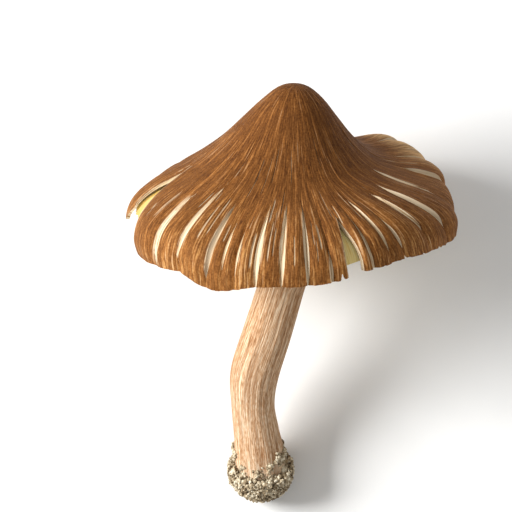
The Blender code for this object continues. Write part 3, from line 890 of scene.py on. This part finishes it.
def cap_material():
    """Brown skin with dense thin radial fibres, dark at the umbo and tan towards the rim, with a pale tan
    on the swelling at the back right that is partly painted light.
    """
    shader = Shader("cap_skin", 0.7)
    s = shader.node("SeparateXYZ", Vector=shader.read("fibre")).outputs[2]
    fibres = shader.even_streaks(s, 1.0, 4, 3.0)
    dashes = shader.even_streaks(s, 1.5, 24, 2.0)
    broad = shader.streaks(6, 1.2)
    place = shader.node("TexCoord").outputs["Object"]
    stipple = shader.noise(place, 2400.0, 2.0)
    lines = shader.thin_lines(fibres, 0.06)
    factor = shader.weigh((fibres, 0.36), (dashes, 0.36), (stipple, 0.20), (broad, 0.08))
    factor = shader.math("ADD", factor, shader.grade(s, 0.45, 0.95, -0.03, 0.045))
    factor = shader.math("ADD", factor, shader.math("MULTIPLY", shader.read("tone"), 0.02))
    colour = shader.ramp(factor, SKIN_COLOURS)
    # A pale tan on the swelling, partly its own colour and partly painted light where the umbo shades it
    swell_tan_and_painted_light = shader.grade(shader.read("tone"), 2, 7, 0, 0.65)
    colour = shader.mix(swell_tan_and_painted_light, colour, SWELL_TAN_AND_PAINTED_LIGHT)
    colour = shader.mix(shader.math("MULTIPLY", lines, 0.7), colour, DARK_BROWN)
    uneven = shader.math("MULTIPLY", shader.math("SUBTRACT", fibres, 0.5), 2.0)
    torn = shader.math("ADD", shader.read("crack"), uneven)
    colour = shader.mix(shader.grade(torn, 0.25, 0.75, 0, 0.92), colour, CREAM)
    bump = shader.math("SUBTRACT", shader.math("ADD", fibres, dashes), shader.math("MULTIPLY", lines, 0.5))
    return shader.finish(colour, bump, distance=0.10, strength=0.8)


def torn_material():
    """Cream flesh where the skin has torn, with fine tan lines along it."""
    shader = Shader("torn_flesh", 0.8)
    stain = shader.streaks(110, 5, 3.0)
    return shader.finish(shader.ramp(stain, TORN_COLOURS), stain, distance=0.08)


def underside_material():
    """The pale flesh between the gills and the skin."""
    shader = Shader("cap_underside", 0.8)
    stain = shader.streaks(40, 7, 4.0)
    return shader.finish(shader.ramp(stain, UNDERSIDE_COLOURS), stain, distance=0.08)


def gill_material():
    """Pale yellow gills with fine lines, duller at their edges."""
    shader = Shader("gill_flesh", 0.7)
    lines = shader.streaks(120, 5, 3.0)
    at_edge = shader.grade(shader.read("fall"), 0.75, 1.0, 0, 0.35)
    colour = shader.mix(at_edge, shader.ramp(lines, GILL_COLOURS), GILL_EDGE)
    return shader.finish(colour, lines, distance=0.06)


def stem_material():
    """Tan flesh with long thin brown fibres and pale streaks, cream where it enters the soil."""
    shader = Shader("stem_flesh", 0.75)
    fine = shader.streaks(16, 14, 3.0)
    middle = shader.streaks(11, 2.5, 2.0)
    dashes = shader.streaks(18, 70, 2.0)
    broad = shader.streaks(1.4, 3)
    lines = shader.thin_lines(middle, 0.07)
    share = shader.node("SeparateXYZ", Vector=shader.read("fibre")).outputs[2]
    factor = shader.weigh((fine, 0.45), (broad, 0.15), (dashes, 0.40), (shader.read("height"), 0.10))
    factor = shader.math("ADD", factor, shader.grade(share, 0.80, 0.93, 0.0, 0.18))
    colour = shader.ramp(factor, STEM_COLOURS)
    colour = shader.mix(shader.math("MULTIPLY", lines, 0.7), colour, STEM_LINES)
    bump = shader.math("SUBTRACT", fine, shader.math("MULTIPLY", lines, 0.6))
    return shader.finish(colour, bump, distance=0.12, strength=0.8)


def soil_material():
    """Grey-brown crumbs, no two alike, with pale grit among them."""
    shader = Shader("soil", 0.95)
    place = shader.node("TexCoord").outputs["Object"]
    speck = shader.noise(place, 1500.0, 3.0)
    clump = shader.noise(place, 420.0, 2.0)
    factor = shader.math("ADD", shader.math("MULTIPLY", shader.read("tone"), 0.16), speck)
    factor = shader.math("ADD", factor, shader.math("MULTIPLY", shader.math("SUBTRACT", clump, 0.5), 0.8))
    return shader.finish(shader.ramp(factor, SOIL_COLOURS), speck, distance=0.15)


def floor_material():
    """Pale matt paper-white floor."""
    shader = Shader("floor", 0.9)
    place = shader.node("TexCoord").outputs["Object"]
    return shader.finish(shader.ramp(shader.noise(place, 30.0, 3.0), FLOOR_COLOURS))


def make_floor():
    """The floor that the mushroom lies on."""
    bm = bmesh.new()
    bmesh.ops.create_grid(bm, x_segments=1, y_segments=1, size=FLOOR_SIZE)
    mesh = bpy.data.meshes.new("floor")
    bm.to_mesh(mesh)
    bm.free()
    mesh.materials.append(floor_material())
    floor = bpy.data.objects.new("floor", mesh)
    bpy.context.scene.collection.objects.link(floor)


def make_light():
    """Even white light from all round, and a square soft lamp that faces the mushroom."""
    world = bpy.data.worlds.new("studio")
    world.use_nodes = True
    world.node_tree.nodes["Background"].inputs["Color"].default_value = (1, 1, 1, 1)
    world.node_tree.nodes["Background"].inputs["Strength"].default_value = WORLD_STRENGTH
    bpy.context.scene.world = world
    light = bpy.data.lights.new("key_lamp", "AREA")
    light.size = LAMP_SIZE
    light.energy = LAMP_POWER
    lamp = bpy.data.objects.new("key_lamp", light)
    lamp.location = LAMP_PLACE
    lamp.rotation_euler = (Vector(LAMP_AIM) - Vector(LAMP_PLACE)).to_track_quat("-Z", "Y").to_euler()
    bpy.context.scene.collection.objects.link(lamp)


def make_camera():
    """A long lens that sees the lying mushroom as the photo shows it."""
    view = math.radians(VIEW_DEG)
    forward = TO_BACK * math.cos(view) - TO_APEX * math.sin(view)
    screen_up = TO_BACK * math.sin(view) + TO_APEX * math.cos(view)
    right_of_rim = (PHOTO_PX / 2 - RIM_CENTRE_PX[0]) * MM_PER_PX
    above_rim = (RIM_CENTRE_PX[1] - PHOTO_PX / 2) * MM_PER_PX
    target = (LAID_AT + right_of_rim * np.array([1, 0, 0]) + above_rim * screen_up) * MM
    data = bpy.data.cameras.new("camera")
    data.sensor_width = SENSOR
    data.lens = SENSOR * CAMERA_DISTANCE / (PHOTO_PX * MM_PER_PX * MM)
    camera = bpy.data.objects.new("camera", data)
    camera.location = Vector(target - forward * CAMERA_DISTANCE)
    camera.rotation_euler = Vector(forward).to_track_quat("-Z", "Y").to_euler()
    bpy.context.scene.collection.objects.link(camera)
    bpy.context.scene.camera = camera


make_camera()
make_light()
make_floor()
pieces = [
    (make_cap([cap_material(), torn_material(), underside_material()]), "cap", "cap_skin"),
    (make_gills(gill_material()), "gills", "gill_flesh"),
    (make_stem(stem_material()), "stem", "stem_flesh"),
    (make_soil(soil_material()), "soil", "soil"),
]
for piece, node, slot in pieces:
    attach(piece, "root")
    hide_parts(node)
bpy.context.scene.view_settings.view_transform = "Standard"
